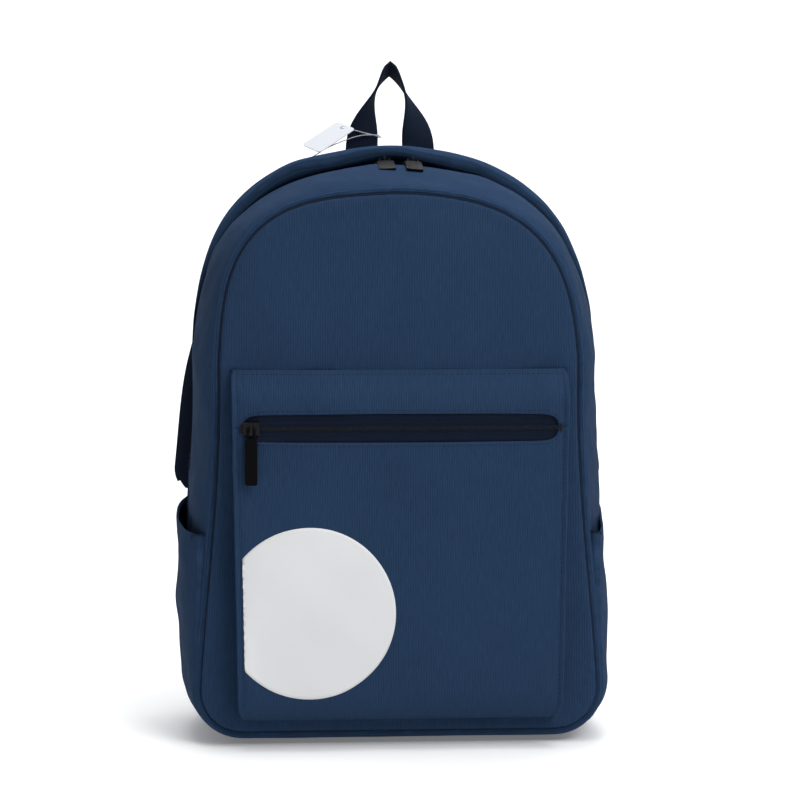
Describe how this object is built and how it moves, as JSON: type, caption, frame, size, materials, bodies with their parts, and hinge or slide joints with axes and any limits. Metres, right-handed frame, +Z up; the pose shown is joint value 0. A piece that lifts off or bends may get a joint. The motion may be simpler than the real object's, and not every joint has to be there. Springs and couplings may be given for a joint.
{
  "type": "school backpack",
  "caption": "Arched daypack with a zipped main compartment, a zipped front pocket, open side pockets, a carry loop and padded shoulder straps.",
  "frame": {"origin": "middle of the flat base, half way between the front and back seams' planes near enough, at floor level", "axes": "+Z up, -Y towards the front pocket, +Y towards the shoulder straps, +X to the right as the front is looked at"},
  "size_m": [0.3334, 0.1968, 0.498],
  "materials": {
    "binding": "folded dark binding tape",
    "board": "stiff black board",
    "buckle": "moulded black buckle",
    "lining": "plain slate lining cloth",
    "mesh_fabric": "padded navy spacer mesh",
    "outer_fabric": "matte navy woven polyester with a fine upright rib",
    "print_white": "smooth white printed film",
    "puller_plastic": "gloss black moulding",
    "rear_fabric": "matte navy woven polyester over foam",
    "strap_pad": "near-black navy cloth over foam",
    "tag_card": "blank grey-white card",
    "tag_plastic": "clear moulded loop",
    "webbing": "ribbed dark navy webbing",
    "zip_metal": "black enamelled zinc",
    "zip_tape": "knitted zip tape with moulded teeth"
  },
  "bodies": {
    "pack": {"rear_gusset": "rear_fabric", "main_zip_rear": "zip_tape", "zip_ends_rear": "zip_metal", "rear_binding": "binding", "front_panel_lower": "outer_fabric", "front_binding_lower": "binding", "side_panel_left": "outer_fabric", "side_panel_right": "outer_fabric", "base_panel": "outer_fabric", "back_panel": "mesh_fabric", "back_board": "board", "laptop_sleeve": "lining", "sleeve_gusset": "lining", "sleeve_binding": "binding", "pocket_face": "outer_fabric", "pocket_top_strip": "outer_fabric", "pocket_gusset": "outer_fabric", "pocket_zip_tape": "zip_tape", "pocket_zip_coil": "zip_tape", "pocket_zip_stops": "zip_metal", "pocket_print": "print_white", "side_pocket_left": "outer_fabric", "side_pocket_right": "outer_fabric", "side_pocket_hem_left": "binding", "side_pocket_hem_right": "binding", "yoke_patch": "outer_fabric", "strap_tab_left": "outer_fabric", "strap_tab_right": "outer_fabric"},
    "front_flap": {"front_panel_upper": "outer_fabric", "front_gusset": "outer_fabric", "main_zip_front": "zip_tape", "zip_ends_front": "zip_metal", "front_binding_upper": "binding"},
    "main_slider_left": {"main_slider_left": "zip_metal"},
    "main_slider_right": {"main_slider_right": "zip_metal"},
    "main_puller_left": {"main_puller_left": "puller_plastic"},
    "main_puller_right": {"main_puller_right": "puller_plastic"},
    "pocket_slider": {"pocket_slider": "zip_metal"},
    "pocket_puller": {"pocket_puller": "puller_plastic"},
    "carry_loop": {"carry_loop": "webbing"},
    "hang_tag": {"hang_tag": "tag_card", "tag_loop": "tag_plastic"},
    "shoulder_strap_left": {"strap_top_left": "strap_pad", "strap_pad_left": "strap_pad", "ladder_lock_left": "buckle", "strap_webbing_left": "webbing"},
    "shoulder_strap_right": {"strap_top_right": "strap_pad", "strap_pad_right": "strap_pad", "ladder_lock_right": "buckle", "strap_webbing_right": "webbing"}
  },
  "joints": [
    {"name": "flap_open", "type": "hinge", "parent": "pack", "child": "front_flap", "pos_m": [0, -0.0702, 0.2828], "axis": [1, 0, 0], "range_deg": [0, 32]},
    {"name": "main_slider_left_run", "type": "hinge", "parent": "front_flap", "child": "main_slider_left", "pos_m": [0, 0.008, 0.27], "axis": [0, -1, 0], "range_deg": [0, 77.5]},
    {"name": "main_slider_right_run", "type": "hinge", "parent": "front_flap", "child": "main_slider_right", "pos_m": [0, 0.008, 0.27], "axis": [0, 1, 0], "range_deg": [0, 74.9]},
    {"name": "main_puller_left_lift", "type": "hinge", "parent": "main_slider_left", "child": "main_puller_left", "pos_m": [-0.00698, 0.008, 0.42374], "axis": [-0.999, 0, -0.0454], "range_deg": [0, 130]},
    {"name": "main_puller_right_lift", "type": "hinge", "parent": "main_slider_right", "child": "main_puller_right", "pos_m": [0.01395, 0.008, 0.42327], "axis": [-0.9959, 0, 0.0906], "range_deg": [0, 130]},
    {"name": "pocket_slider_run", "type": "slide", "parent": "pack", "child": "pocket_slider", "axis": [1, 0, 0], "range_m": [0, 0.2135]},
    {"name": "pocket_puller_lift", "type": "hinge", "parent": "pocket_slider", "child": "pocket_puller", "pos_m": [-0.107, -0.0907, 0.233], "axis": [-1, 0, 0], "range_deg": [0, 150]},
    {"name": "carry_loop_fold", "type": "hinge", "parent": "pack", "child": "carry_loop", "pos_m": [0, 0.062, 0.4295], "axis": [1, 0, 0], "range_deg": [-70, 6], "stiffness_Nm_per_rad": 0.08},
    {"name": "tag_swing", "type": "hinge", "parent": "carry_loop", "child": "hang_tag", "pos_m": [-0.0225, 0.062, 0.4395], "axis": [-1, 0, 0], "range_deg": [0, 11]},
    {"name": "strap_left_swing", "type": "hinge", "parent": "pack", "child": "shoulder_strap_left", "pos_m": [-0.033, 0.074, 0.357], "axis": [-0.2698, 0, -0.9629], "range_deg": [0, 60]},
    {"name": "strap_right_swing", "type": "hinge", "parent": "pack", "child": "shoulder_strap_right", "pos_m": [0.033, 0.074, 0.357], "axis": [-0.2698, 0, 0.9629], "range_deg": [0, 60]}
  ]
}
